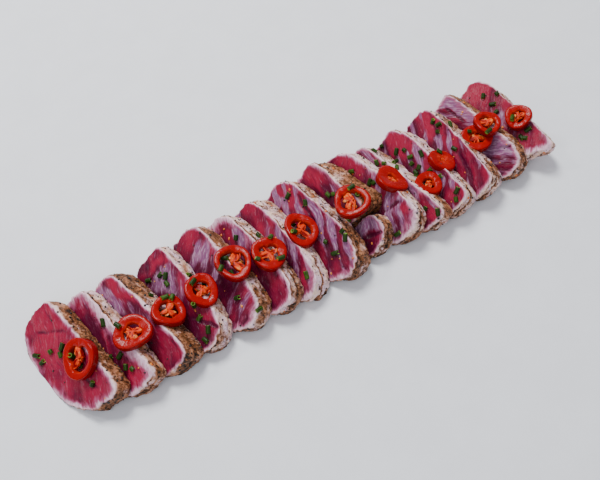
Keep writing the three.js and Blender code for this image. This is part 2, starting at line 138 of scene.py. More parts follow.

# Patches on a cut face: distance from the near end, height (0 at the upper edge), half length, half
# height, how much more painted lilac sheen it has there, how much redder it is, and, for some, how
# much paler
PATCHES = {
    "slice_01": [(34, -5, 8, 3, 0.5, -0.1), (20, -12, 22, 8, -0.2, 0.35), (52, -12, 10, 9, -0.1, 0.4)],
    "slice_02": [
        (5, -10, 5, 7, -0.6, 0.5), (16, -8, 6, 4, 0.3, -0.3), (36, -3, 12, 2, 0.9, 0, 0.3),
        (44, -10, 14, 4, -0.3, -0.3)],
    "slice_03": [
        (6, -10, 12, 7, -0.6, 0.3), (32, -4, 9, 3, 0.3, -0.5), (50, -3, 9, 3, -0.8, 0.6),
        (48, -11, 12, 5, 1.2, 0, 0.85)],
    "slice_04": [
        (40, -11, 10, 8, 0.6, -0.2, 0.05), (53, -9, 2.4, 12, -1, 0.5), (12, -8, 9, 5, -0.1, 0.1)],
    "slice_05": [
        (46, -8, 4, 6, 1.2, 0, 0.35), (55, -9, 5, 11, -1, 0.35), (26, -9, 6, 9, -0.4, -0.5),
        (36, -6, 5, 6, 0.4, -0.2)],
    "slice_06": [(10, -9, 8, 7, -0.4, 0.3), (42, -5, 8, 3, 0.7, 0, 0.1), (48, -10, 6, 3, -0.8, 0.4)],
    "slice_07": [(52, -6, 9, 6, -0.5, 0.35), (30, -4, 12, 4, 0.5, -0.2), (18, -6, 5, 4, -0.2, -0.3)],
    "slice_08": [
        (14, -17, 10, 5, -0.6, 0.1), (28, -6, 12, 5, 0.7, -0.1, 0.05), (54, -9, 6, 5, -0.5, 0.3),
        (56, -14, 6, 2.5, 1, 0, 0.2)],
    "slice_09_upper": [(33, -8, 8, 4, -0.9, 0.5), (22, -6, 6, 4, 0.4, -0.4)],
    "slice_09_lower": [(15, -5, 6, 5, 0.9, 0, 0.15), (8, -9, 5, 5, -0.4, 0.1)],
    "slice_10": [
        (14, -5, 3, 3, -0.8, 0.7), (20, -9, 9, 8, 0.5, -0.1, 0.05), (50, -5, 11, 5, -0.5, 0.4),
        (36, -3, 6, 3, 0.8, 0, 0.25)],
    "slice_11": [(4, -7, 6, 4, -0.6, 0.6), (16, -3, 8, 3, 0.3, -0.2), (48, -3, 9, 2.5, 0.3, -0.2, 0.1)],
    "slice_12": [
        (6, -6, 5, 5, -0.5, 0.3), (14, -6, 6, 5, 0.4, -0.2), (52, -8, 9, 6, -0.7, 0.6),
        (34, -5, 7, 5, 0.6, 0, 0.1)],
    "slice_13": [
        (18, -8, 13, 5, -0.7, -0.05), (34, -6, 7, 5, 0.9, 0, 0.2), (52, -7, 9, 7, -0.5, 0.4),
        (42, -10, 5, 2, 1, 0, 0.3)],
    "slice_14": [
        (7, -12, 5, 4, -0.7, 0.2), (20, -5, 10, 6, 0.7, 0.1, 0.3), (46, -4, 12, 3, 0.8, 0.1, 0.35),
        (50, -10, 8, 3, -0.3, 0.2)],
    "slice_15": [
        (54, -8, 9, 8, -0.4, 0.5, 0.02), (22, -6, 10, 6, -0.1, -0.1), (36, -10, 8, 4, 0.5, -0.1)],
}

# Creases in a cut face: from and to, as distance from the near end and height, and depth
CREASES = {
    "slice_01": [(40, -3, 53, -18, 0.55), (8, -9, 26, -14, 0.25)],
    "slice_04": [(4, -3, 18, -12, 0.3)],
    "slice_08": [(30, -9, 52, -4, 0.4), (16, -13, 40, -10, 0.3)],
    "slice_09_lower": [(4, -2, 10, -12, 0.4)],
    "slice_10": [(17, -2, 20, -16, 0.4)],
    "slice_13": [(8, -11, 27, -5, 0.4), (38, -9, 52, -3, 0.35)],
    "slice_14": [(12, -0.5, 17, -11, 0.8), (40, -7, 56, -8, 0.3)],
}

# Folds round the near end of a seared side: their distance from the cut face, how far they reach
# along the slice, and their depth
FOLDS = {
    "slice_02": (4.6, 14, 0.5), "slice_03": (7, 12, 0.5), "slice_06": (5.4, 16, 0.7),
    "slice_07": (5.2, 24, 1.3), "slice_08": (4.2, 22, 1.3), "slice_09_lower": (4.4, 24, 1.2),
    "slice_10": (5, 12, 0.6), "slice_12": (4.8, 14, 0.9), "slice_13": (6, 16, 0.9),
    "slice_14": (7, 12, 0.6),
}

# Each chilli ring: where it was sighted, its height, its tilt to the left and to the near side, its
# two radii, the share of its hole, and how many webs and seeds it has
Ring = namedtuple("Ring", "spot height tilt radii hole webs seeds")
RINGS = [
    Ring((-122.9, -3.3), 15.6, (34, 0), (9.5, 9.8), 0.64, 2, 1),
    Ring((-97, -5), 18.2, (2, 0), (9.4, 8.3), 0.48, 3, 2),
    Ring((-77.9, -4.5), 15, (-16, 0), (8.3, 8.4), 0.56, 3, 2),
    Ring((-59.3, -3.4), 17.4, (-8, 8), (7.9, 8.8), 0.52, 3, 1),
    Ring((-38.6, 1.2), 20.2, (-4, 0), (8.8, 9.9), 0.68, 2, 2),
    Ring((-21.1, -4.2), 19.2, (-4, 4), (8.8, 9), 0.55, 4, 0),
    Ring((-0.2, -1.4), 15.4, (-6, 6), (8.1, 9.9), 0.6, 3, 1),
    Ring((31.6, -1.2), 23.4, (6, 0), (9.3, 9.1), 0.64, 2, 2),
    Ring((57.1, -1.6), 19.4, (-26, 0), (8.8, 9), 0.3, 2, 0),
    Ring((72, -14.3), 14.6, (-4, 0), (7.3, 7.3), 0.42, 2, 1),
    Ring((87.4, -6.3), 16.4, (-20, 0), (7.7, 7.5), 0, 0, 0),
    Ring((113.6, -4.8), 17, (4, 0), (9.4, 8.3), 0.5, 4, 2),
    Ring((125, 0), 21.4, (2, 0), (7, 7.6), 0.6, 2, 1),
    Ring((142.9, -5.9), 18.8, (24, 0), (7.3, 7.2), 0.5, 3, 1),
]
RING_THICKNESS = 4.2
RING_LOBES = 0.05
RING_STEPS, SECTION_STEPS = 132, 30

# The ribs in a ring's hole: the radius of their hub, their columns and rows, and a seed's radii
HUB_RADIUS = 2.1
RIB_GRID = (84, 12)
SEED_RADII = (1.3, 1.05, 1.2)

# Where the chives were sighted, at SIGHT_LEVEL
CHIVE_SPOTS = [
    (-133, 7), (-139, 8.6), (-138, 4.3), (-127.5, 6.4), (-129.6, 3.2), (-124, -7), (-126, 0),
    (-123, -17.5), (-106.4, 7.1), (-101.4, 2.1), (-110.7, -10.4), (-106.8, -12.1), (-107, -18.6),
    (-105, -21), (-78.2, 15.4), (-72, 14.9), (-70, 12.9), (-71.4, 8.9), (-81.4, 7.5), (-76, 2.9),
    (-73.2, 1.1), (-79, -5), (-78, -7), (-61, 7.1), (-60.8, 3), (-57.5, -2), (-60.4, -3.8),
    (-65.7, -7.9), (-66.8, -15.7), (-66.4, -23.2), (-70, -27.1), (-46.4, -16.4), (-41.4, -27.1),
    (-30, 12.9), (-20.7, 7.9), (-41, 6), (-39, 2), (-45.5, 2), (-42, -3.5), (-27.5, -3.5),
    (-17.5, -9.5), (-15.4, 3.6), (-11.8, -24.3), (-2.5, 4), (-4, 0), (5.7, 20), (11.1, 11.4),
    (6.8, -13.6), (7.1, -21.8), (17.1, -13.2), (16.4, -17.1), (23.8, 9.1), (26.4, 7.9), (36.4, 6.4),
    (36.8, 0.7), (22.9, -8.6), (42.9, 14.6), (48.2, 2.1), (46.8, 3.6), (57.5, 12.1), (60.7, 9.3),
    (40, -30), (61.1, -25.7), (65.4, -30.7), (60.6, 19.2), (66.4, 19.4), (65.4, 6.8), (64, 3),
    (75, 10.4), (75, 5), (72.9, 1.1), (70.7, 12), (71.4, -4.6), (70, -7), (77.9, -7.9), (74.6, -3),
    (81.4, 3.6), (90, -0.7), (80.4, -13.9), (82.1, -25.7), (78.2, -30), (98.6, 10.4), (102.1, 14.3),
    (101, 17.9), (106.8, 10.7), (98.6, -3.6), (113, 1), (122, -4.5), (136.4, 16.4), (144.3, 13.6),
    (137.1, 8.9), (135, 3.6), (139, -4.5), (134.6, -17.9), (136, -19.4), (141.4, -15.7),
]

# The shortest chive and how much longer the longest is, their steps round and along, and how low on
# the slices crumbs may lie
CHIVE_LEAST, CHIVE_SPREAD = 2.2, 2.6
CHIVE_COLUMNS, CHIVE_ROWS = 18, 14
LOWEST_CRUMB = 1.5

# The stage in metres: half the floor's width, the lines of its grid, its depth below zero, and each
# lamp's place, width, share of the key power and colour
FLOOR_HALF = 1.5
FLOOR_LINES = 13
FLOOR_DROP = 0.0002
LAMPS = (
    ("key_light", (0.05, 0.6, 1.0), 0.36, 1.0, "#ffffff"),
    ("glint_light", (-0.5, 0.55, 0.75), 0.12, 0.12, "#ffffff"),
    ("fill_light", (-0.7, -0.35, 0.8), 0.9, 0.25, "#f4f6ff"),
)


def srgb(code):
    """An sRGB hex colour as linear red, green and blue."""
    parts = np.array([int(code[i : i + 2], 16) for i in (1, 3, 5)]) / 255
    linear = np.where(parts <= 0.04045, parts / 12.92, ((parts + 0.055) / 1.055) ** 2.4)
    return tuple(float(x) for x in linear)


def colour(name, description, code):
    """A colour setting."""
    return bpy.props.FloatVectorProperty(
        name=name, description=description, default=srgb(code), subtype="COLOR", min=0, max=1
    )


def amount(name, description, value, unit="NONE", subtype="NONE"):
    """A number setting, from 0 up."""
    return bpy.props.FloatProperty(
        name=name, description=description, default=value, min=0, unit=unit, subtype=subtype
    )


def distance(name, description, metres):
    """A length setting in metres."""
    return amount(name, description, metres, "LENGTH", "DISTANCE")


def count(name, description, value):
    """A whole number setting."""
    return bpy.props.IntProperty(name=name, description=description, default=value, min=0)


class FleshSettings(bpy.types.PropertyGroup):
    # Deep flesh is a real tone of the raw flesh, and also the colour of the painted shade low on the
    # middle faces and in the creases
    deep: colour("Deep flesh", "Darkest raw flesh", "#4d0726")
    raw: colour("Raw flesh", "Raw flesh in the light", "#951837")
    # Lilac is painted sheen: the pearly iridescent sheen of the raw flesh, laid into its colour in bands.
    # Pearl is the same painted sheen along fine fibres, and it also mottles the cooked rim.
    lilac: colour("Lilac", "Pearly bands across the raw flesh", "#814d73")
    pearl: colour("Pearl", "Fine pale fibres", "#c5a2b8")
    halo: colour("Halo", "Where raw flesh turns into the cooked rim", "#a2506f")
    rim: colour("Rim", "Cooked rim next to the seared side", "#efcedd")
    tan: colour("Tan", "Lightly seared side", "#b57957")
    pale: colour("Pale sear", "Hardly seared patches", "#f3cebc")
    brown: colour("Brown", "Well browned patches", "#6c3f21")
    char: colour("Char", "Burnt specks", "#24160d")
    relief: distance("Face relief", "Height of the dents on a cut face", 0.0004)
    crags: distance("Crags", "Height of the crags on the seared side", 0.00065)


class ChilliSettings(bpy.types.PropertyGroup):
    red: colour("Red", "Chilli flesh", "#9b0000")
    skin: colour("Skin", "Outer skin", "#7c0000")
    orange: colour("Orange", "Inner side and ribs", "#d43503")
    cream: colour("Cream", "Palest part of the ribs, and the seeds", "#dd8b45")
    waviness: distance("Waviness", "How far a ring bends out of its plane", 0.00035)


class ChiveSettings(bpy.types.PropertyGroup):
    dark: colour("Dark green", "Outer side of a chive", "#192d08")
    light: colour("Light green", "Lighter streaks", "#426119")
    inner: colour("Inner green", "Inside and cut ends", "#769538")
    radius: distance("Radius", "Outer radius of a chive", 0.00115)
    wall: distance("Wall", "Thickness of its wall", 0.00034)


class SeasoningSettings(bpy.types.PropertyGroup):
    grains: count("Pepper grains", "Number of pepper grains", 700)
    grain_size: distance("Pepper size", "Mean radius of a grain", 0.00036)
    flakes: count("Flakes", "Number of chilli crumbs", 130)
    flake_size: distance("Flake size", "Mean radius of a crumb", 0.0005)
    black: colour("Pepper", "Crushed black pepper", "#1c1411")
    ember: colour("Flake", "Dried chilli crumb", "#d8481c")
    glow: colour("Flake core", "Paler parts of a crumb", "#d9902f")


class StageSettings(bpy.types.PropertyGroup):
    floor: colour("Floor", "Matt floor", "#eef0f4")
    sky: colour("Sky", "Colour of the light from all round", "#f4f6ff")
    strength: amount("World light", "Strength of the light from all round", 0.5, subtype="FACTOR")
    key: amount("Key light", "Power of the large light", 15.0, "POWER")


def add(tree, kind, inputs=None, **fields):
    """Adds a shader node, sets its own fields, sets or links its inputs, and returns its outputs."""
    node = tree.nodes.new("ShaderNode" + kind)
    for name, value in fields.items():
        setattr(node, name, value)
    for key, value in (inputs or {}).items():
        socket = node.inputs[key]
        if isinstance(value, bpy.types.NodeSocket):
            tree.links.new(value, socket)
        else:
            socket.default_value = value
    return node.outputs


def rgba(value):
    """A colour with full opacity, for a colour socket."""
    return (*value, 1.0)


def new_material(name):
    """An empty node material and its tree."""
    material = bpy.data.materials.new(name)
    material.use_nodes = True
    material.node_tree.nodes.clear()
    return material, material.node_tree


def finish_material(tree, tint, roughness, height, depth, gloss=0.5, soft=0.0, bleed=(0, 0, 0)):
    """The surface shader: colour, roughness, a bump of a depth in metres, the strength of its gloss,
    and the share of light that bleeds through it, with its red, green and blue reach."""
    bump = add(tree, "Bump", {"Strength": 0.7, "Distance": depth, "Height": height})
    inputs = {
        "Base Color": tint, "Roughness": roughness, "Normal": bump[0],
        "Specular IOR Level": gloss, "Subsurface Weight": soft, "Subsurface Radius": bleed,
    }
    shader = add(tree, "BsdfPrincipled", inputs)
    add(tree, "OutputMaterial", {"Surface": shader[0]})


def pattern(tree, vector, size, detail, rough, stretch=(1, 1, 1)):
    """Noise over a vector in metres times stretch, with features about size metres across."""
    stretched = add(tree, "VectorMath", {0: vector, 1: stretch}, operation="MULTIPLY")
    inputs = {"Vector": stretched[0], "Scale": 1 / size, "Detail": detail, "Roughness": rough}
    return add(tree, "TexNoise", inputs)[0]


def ramp(tree, value, low, high, start=0.0, end=1.0):
    """The smooth step of a value from low to high, onto start to end."""
    inputs = {"Value": value, "From Min": low, "From Max": high, "To Min": start, "To Max": end}
    return add(tree, "MapRange", inputs, interpolation_type="SMOOTHSTEP")[0]


def times(tree, a, b):
    """The product of two values."""
    return add(tree, "Math", {0: a, 1: b}, operation="MULTIPLY")[0]


def total(tree, *terms):
    """The sum of values, each times its own weight."""
    result = 0.0
    for value, weight in terms:
        inputs = {0: value, 1: weight, 2: result}
        result = add(tree, "Math", inputs, operation="MULTIPLY_ADD")[0]
    return result


def blend(tree, factor, a, b):
    """Colour a turned into colour b by a factor. Either may be a socket or three numbers."""
    a, b = (side if isinstance(side, bpy.types.NodeSocket) else rgba(side) for side in (a, b))
    return add(tree, "Mix", {0: factor, 6: a, 7: b}, data_type="RGBA")[2]


def coats(tree, tint, *layers):
    """A colour with others laid over it, each by its value's smooth step from low to high."""
    for value, low, high, most, coat in layers:
        tint = blend(tree, ramp(tree, value, low, high, 0, most), tint, coat)
    return tint


def attribute(tree, name, output="Vector"):
    """An attribute of the mesh: its vector, or its value as Fac."""
    return add(tree, "Attribute", attribute_name=name)[output]


def thirds(tree, name):
    """The three numbers of a vector attribute."""
    return add(tree, "SeparateXYZ", {0: attribute(tree, name)})


def object_place(tree):
    """Each point's place on its object, in metres."""
    return add(tree, "TexCoord")["Object"]


def flesh_material(s):
    """Raw tuna loin with a seared side: muscle bands and fibres with a painted lilac sheen, painted
    shade, a pale cooked rim, browned crust.
    """
    material, tree = new_material("seared_tuna")
    grain = attribute(tree, "grain")
    rim, sear = attribute(tree, "rim", "Fac"), attribute(tree, "sear", "Fac")
    sheen, redness, browning = thirds(tree, "tone")
    bands = pattern(tree, grain, 0.006, 2, 0.5, (0.16, 1, 1))
    streaks = pattern(tree, grain, 0.0022, 3, 0.6, (0.2, 1, 0.6))
    fine = pattern(tree, grain, 0.0008, 3, 0.65, (0.2, 1, 0.6))
    cloud = pattern(tree, grain, 0.0055, 4, 0.65, (0.6, 1, 1))
    mottle = pattern(tree, grain, 0.0028, 4, 0.65)
    spots = pattern(tree, grain, 0.0012, 3, 0.6)
    light = total(tree, (redness, 1), (cloud, 0.9))
    # Painted sheen: lilac bands, with fine pearl lines in them, where the sheen attribute and the bands
    # are high
    pearly_sheen = total(tree, (bands, 0.6), (streaks, 0.35), (fine, 0.2), (sheen, 0.4), (1.0, -0.075))
    sheen_colour = coats(tree, s.lilac, (fine, 0.42, 0.7, 0.65, s.pearl))
    edge = total(tree, (rim, 1.1), (cloud, -1.7), (streaks, -1.5), (fine, -0.8), (1.0, 1.2))
    rim_colour = coats(tree, s.rim, (streaks, 0.45, 0.7, 0.6, s.halo), (mottle, 0.5, 0.75, 0.5, s.pearl))
    flesh = coats(
        tree, s.deep, (light, 0.5, 1.35, 1, s.raw), (streaks, 0.45, 0.28, 0.6, s.deep),
        (pearly_sheen, 0.645, 0.88, 0.9, sheen_colour), (fine, 0.58, 0.75, 0.2, s.pearl),
        (edge, 0.5, -0.2, 0.8, s.halo), (edge, 0, -0.8, 0.95, rim_colour),
    )
    toasted = total(tree, (cloud, 1), (browning, 0.45))
    browned = total(tree, (mottle, 0.6), (spots, 0.4), (browning, 0.14))
    burnt = total(tree, (mottle, 0.45), (spots, 0.55), (browning, 0.16))
    crust = coats(
        tree, s.pale, (streaks, 0.42, 0.6, 0.9, s.rim), (toasted, 0.55, 0.85, 1, s.tan),
        (browned, 0.525, 0.65, 0.95, s.brown), (burnt, 0.68, 0.75, 1, s.char),
    )
    veins = pattern(tree, grain, 0.007, 4, 0.6)
    gap = add(tree, "Math", {0: veins, 1: 0.5, 2: 0.012}, operation="COMPARE")[0]
    crust = blend(tree, times(tree, gap, ramp(tree, browning, 0.1, 0.8, 0.2, 0.85)), crust, s.char)
    roughness = add(tree, "Mix", {0: sear, 2: 0.27, 3: 0.55})[0]
    height = add(tree, "Mix", {0: sear, 2: streaks, 3: browned})[0]
    tint = blend(tree, sear, flesh, crust)
    finish_material(tree, tint, roughness, height, 0.0009, 0.2, 0.08, (0.002, 0.0004, 0.0004))
    return material


def chilli_material(s):
    """Fresh red chilli, sliced: glossy flesh, darker skin outside, orange towards the inside."""
    material, tree = new_material("chilli_flesh")
    place = object_place(tree)
    inside, skin, _ = thirds(tree, "cut")
    mottle = pattern(tree, place, 0.0019, 3, 0.55)
    fine = pattern(tree, place, 0.0007, 2, 0.5)
    warm = times(tree, inside, times(tree, mottle, 1.3))
    tint = coats(tree, s.red, (warm, 0.3, 0.85, 0.5, s.orange))
    tint = blend(tree, times(tree, skin, 0.85), tint, s.skin)
    tint = coats(tree, tint, (mottle, 0.7, 0.35, 0.25, s.skin))
    roughness = ramp(tree, mottle, 0.3, 0.7, 0.16, 0.3)
    finish_material(tree, tint, roughness, fine, 0.00012, 0.14, 0.05, (0.002, 0.0003, 0.0002))
    return material


def placenta_material(s):
    """Chilli placenta: soft spongy ribs, dark red in their hollows and underneath, orange on the
    lumps and cream on the highest of them.
    """
    material, tree = new_material("chilli_placenta")
    mottle = pattern(tree, object_place(tree), 0.0012, 3, 0.6)
    pale = times(tree, thirds(tree, "cut")[0], times(tree, mottle, 1.6))
    tint = coats(tree, s.skin, (pale, 0.1, 0.5, 1, s.orange), (pale, 0.7, 1, 0.8, s.cream))
    roughness = ramp(tree, mottle, 0.3, 0.7, 0.3, 0.45)
    finish_material(tree, tint, roughness, mottle, 0.0002, 0.15, 0.08, (0.002, 0.0006, 0.0003))
    return material


def chive_material(s):
    """Fresh chives, chopped: waxy dark green outside with lengthwise streaks, paler inside."""
    material, tree = new_material("chive")
    inside, order, _ = thirds(tree, "stem")
    streaks = pattern(tree, attribute(tree, "stem_place"), 0.00045, 2, 0.6, (0.15, 1, 1))
    outer = coats(tree, s.dark, (streaks, 0.35, 0.7, 1, s.light), (order, 0.9, 0.3, 0.8, s.dark))
    tint = blend(tree, inside, outer, s.inner)
    finish_material(tree, tint, ramp(tree, streaks, 0.3, 0.7, 0.3, 0.42), streaks, 0.0001, 0.15)
    return material


def mottled_material(name, tint, other, size, steps, dull, detail=2):
    """A plain material, mottled from one colour to the other: the size and steps of its mottling,
    and its least and greatest roughness."""
    material, tree = new_material(name)
    mottle = pattern(tree, object_place(tree), size, detail, 0.6)
    mixed = coats(tree, tint, (mottle, *steps, other))
    finish_material(tree, mixed, ramp(tree, mottle, 0.3, 0.7, *dull), mottle, 0.0001)
    return material


def noise(points, pitch, seed):
    """Random numbers on a lattice of a pitch, blended smoothly between its points, from -1 to 1."""
    lattice = np.random.default_rng(seed).uniform(-1, 1, (16, 16, 16))
    cell = np.asarray(points) / pitch
    low = np.floor(cell).astype(int)
    part = cell - low
    part = part * part * (3 - 2 * part)
    result = np.zeros(cell.shape[:-1])
    for corner in np.ndindex(2, 2, 2):
        weight = np.prod(np.where(corner, part, 1 - part), axis=-1)
        result += weight * lattice[tuple(np.moveaxis((low + corner) % 16, -1, 0))]
    return result


def smooth(value, low, high):
    """0 below low, 1 above high, and a smooth rise between."""
    part = np.clip((value - low) / (high - low), 0, 1)
    return part * part * (3 - 2 * part)


def bell(distance_away, width):
    """1 at no distance, falling off evenly on both sides."""
    return np.exp(-((distance_away / width) ** 2))


def grid_faces(rows, columns, poles=True):
    """The faces of a grid closed round its columns, with a fan to the point before its first row
    and to the point after its last, or, without poles, closed both ways."""
    start = 1 if poles else 0
    spans = rows - 1 if poles else rows
    row, column = np.meshgrid(np.arange(spans), np.arange(columns), indexing="ij")
    after, beside = (row + 1) % rows, (column + 1) % columns
    corners = [(row, column), (after, column), (after, beside), (row, beside)]
    quads = np.stack([start + r * columns + c for r, c in corners], -1).reshape(-1, 4)
    if not poles:
        return quads.tolist()
    ring = np.arange(columns)
    turned = (ring + 1) % columns
    end = start + (rows - 1) * columns
    low = np.stack([0 * ring, start + ring, start + turned], -1)
    high = np.stack([0 * ring + end + columns, end + turned, end + ring], -1)
    return quads.tolist() + low.tolist() + high.tolist()


def around(steps):
    """Angles once round, in even steps."""
    return np.arange(steps) / steps * 2 * math.pi


def polar(radius, angle, level):
    """Points at a distance from the upright axis, an angle round it and a level along it."""
    return np.stack([radius * np.cos(angle), radius * np.sin(angle), level + 0 * angle], -1)


def globe(columns, rows):
    """The angles round and up a ball of a grid of points without its poles."""
    return np.meshgrid(around(columns), (np.arange(1, rows + 1) / (rows + 1) - 0.5) * math.pi)


def capped(low, points, high):
    """Rows of points as one list, between the points at the two poles."""
    return np.concatenate([[low], points.reshape(-1, 3), [high]])


def join(parts):
    """Several (positions, faces) as one, with the faces renumbered."""
    positions, faces, first = [], [], 0
    for points, corners in parts:
        positions.append(points)
        faces += [[first + i for i in face] for face in corners]
        first += len(points)
    return np.concatenate(positions), faces


def link(name, data):
    """A new object in the scene, at the origin."""
    thing = bpy.data.objects.new(name, data)
    bpy.context.scene.collection.objects.link(thing)
    return thing


def aimed(name, data, spot, target):
    """A lamp or camera in the scene, at a spot and pointing at a target."""
    thing = link(name, data)
    thing.location = spot
    thing.rotation_euler = (Vector(target) - thing.location).to_track_quat("-Z", "Y").to_euler()
    return thing


def in_frame(positions):
    """Table millimetres as metres of the frame."""
    return (positions - ROW_MIDDLE) / 1000


def make_piece(name, positions, faces, layers, material, slot, nodes=()):
    """A smooth mesh from table millimetres, with its attributes and material, on the body root and
    in the place of its nodes, which it hides. Its slot is not used."""
    mesh = bpy.data.meshes.new(name)
    mesh.from_pydata(in_frame(positions).tolist(), [], faces)
    mesh.shade_smooth()
    for key, values in layers.items():
        kind, field = ("FLOAT", "value") if values.ndim == 1 else ("FLOAT_VECTOR", "vector")
        layer = mesh.attributes.new(key, kind, "POINT")
        layer.data.foreach_set(field, np.ascontiguousarray(values, dtype=np.float32).ravel())
    mesh.materials.append(material)
    piece = link(name, mesh)
    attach(piece, "root")
    if nodes:
        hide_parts(*nodes)


def axes(piece):
    """A slice's axes: along its length, up its leaning face and into its thickness, and its start."""
    lean, turn = math.radians(piece.lean), math.radians(piece.turn)
    along = np.array([-math.sin(turn), math.cos(turn), 0])
    up = polar(math.cos(lean), turn, math.sin(lean))
    inward = -np.cross(up, along)
    start = np.array([piece.x, REFERENCE_Y, piece.z])
    return along, up, inward, start


def extent(piece):
    """Where a slice ends along its own length, and half its height up the cut face."""
    along = axes(piece)[0]
    near, far = ((end - REFERENCE_Y) / along[1] for end in piece.ends)
    return near, far, (piece.z / math.sin(math.radians(piece.lean)) + SINK) / 2


def outline(piece, shares, seed):
    """Points round a cut face, from its middle: the sides of a rectangle drawn in to a superellipse,
    moved in and out by three sine waves, and drawn in along the slice the more the lower they lie."""
    near, far, half_v = extent(piece)
    half_u = (far - near) / 2
    walk = shares * 4
    side = np.floor(walk).astype(int) % 4
    run = 2 * (walk - np.floor(walk)) - 1
    one = np.ones_like(run)
    u = np.choose(side, [run, one, -run, -one]) * half_u
    v = np.choose(side, [one, -run, -one, run]) * half_v
    upper, lower = piece.corners[:2], piece.corners[2:]
    power = np.where(v > 0, np.where(u < 0, *upper), np.where(u < 0, *lower))
    pull = (np.abs(u / half_u) ** power + np.abs(v / half_v) ** power) ** (-1 / power)
    angle = 2 * math.pi * shares
    waver = 0.5 * np.sin(3 * angle + 1.7 * seed) + 0.3 * np.sin(5 * angle + 2.9 * seed)
    waver += 0.2 * np.sin(9 * angle + 4.1 * seed)
    grown = 1 + UNEVENNESS * waver / (np.hypot(u, v) * pull)
    u, v = u * pull * grown, v * pull * grown
    shorter = np.where(u < 0, *piece.cuts) * (1 - v / half_v) / 2
    return u * (1 - shorter / half_u), v


def place(piece, rest, u, v, depth):
    """Points of a slice from its own u, v and depth, not below the floor and not deeper than the
    face of the slice that it leans on. Each pass lifts what would sink and fits the depth again."""
    along, up, inward, start = axes(piece)
    near, far, _ = extent(piece)
    near_rise, far_rise = piece.rises
    rise = near_rise + (far_rise - near_rise) * (u - near) / (far - near)
    d = depth
    for _ in range(3):
        height = np.maximum(v + rise * np.maximum(d, 0), (-d * inward[2] - piece.z) / up[2])
        if rest is not None:
            other_inward, other_start = axes(rest)[2:]
            slid = u - height * up[1] / along[1]
            on_face = start + slid[..., None] * along + height[..., None] * up
            clear = -((on_face - other_start) @ other_inward) - GAP
            d = np.minimum(depth, clear / (inward @ other_inward))
    drift = (height * up[1] + d * inward[1]) / along[1]
    return start + (u - drift)[..., None] * along + height[..., None] * up + d[..., None] * inward


def creased(name, u, v):
    """How near each point lies to a crease of its face, from 0 to 1, and how deep that is there: a
    bell across the crease, fading towards its ends."""
    nearest, deepest = np.zeros_like(u), np.zeros_like(u)
    for from_u, from_v, to_u, to_v, depth in CREASES.get(name, ()):
        run = np.array([to_u - from_u, to_v - from_v])
        passed = ((u - from_u) * run[0] + (v - from_v) * run[1]) / (run @ run)
        across = ((u - from_u) * run[1] - (v - from_v) * run[0]) / np.hypot(*run)
        close = bell(across, 0.9) * smooth(passed, -0.05, 0.2) * smooth(passed, 1.05, 0.8)
        nearest = np.maximum(nearest, close)
        deepest = np.maximum(deepest, close * depth)
    return nearest, deepest


def folded(name, u, depth, local):
    """How near each point lies to the fold in its seared side, from 0 to 1, and how deep that is: a
    bell at a wandering distance from the face, near the end only."""
    if name not in FOLDS:
        return 0 * depth, 0
    from_face, reach, cut = FOLDS[name]
    close = bell(depth - from_face - 1.4 * noise(local, 6, 25), 0.75)
    return close * smooth(u, reach, 0.5 * reach), cut


def slice_rows(thick):
    """The rows of a slice's grid over its face, the edge, the seared side, the rear edge and the
    back. For each row: its share of the way out, how far it lies within the outline, its depth,
    its share of the dents and of the crags, how seared it is, and how toasted its low edge is."""
    grow = (np.arange(1, FACE_STEPS + 1) / FACE_STEPS) ** 0.75
    turn = np.radians([22.5, 45, 67.5, 90])
    run = np.arange(1, CRUST_STEPS + 1) / CRUST_STEPS
    back = np.array([0.8, 0.45])
    edge, side = np.ones(4), np.ones(CRUST_STEPS)
    face_end = np.arange(FACE_STEPS) == FACE_STEPS - 1
    opening, closing = 1 - np.cos(turn), 1 - np.sin(turn)
    columns = (
        [grow, edge, side, edge, back],
        [EDGE_INSET * grow, EDGE_INSET * closing, -CRUST_BULGE * np.sin(math.pi * run),
         EDGE_INSET * opening, EDGE_INSET * back],
        [0 * grow, EDGE_ROUNDING * opening, EDGE_ROUNDING + (thick - 2 * EDGE_ROUNDING) * run,
         thick - EDGE_ROUNDING * closing, thick + 0 * back],
        [1 + 0 * grow, np.cos(turn), 0 * side, 0 * edge, 0 * back],
        [smooth(grow, 0.94, 1) * 0.5, edge, side, edge, 0 * back],
        [0 * grow, [0.1, 0.55, 0.95, 1], side, edge, 1 + 0 * back],
        [0.3 * face_end, [0.85, 1, 1, 1], side, 0 * edge, 0 * back],
    )
    return [np.concatenate(column)[:, None] for column in columns]


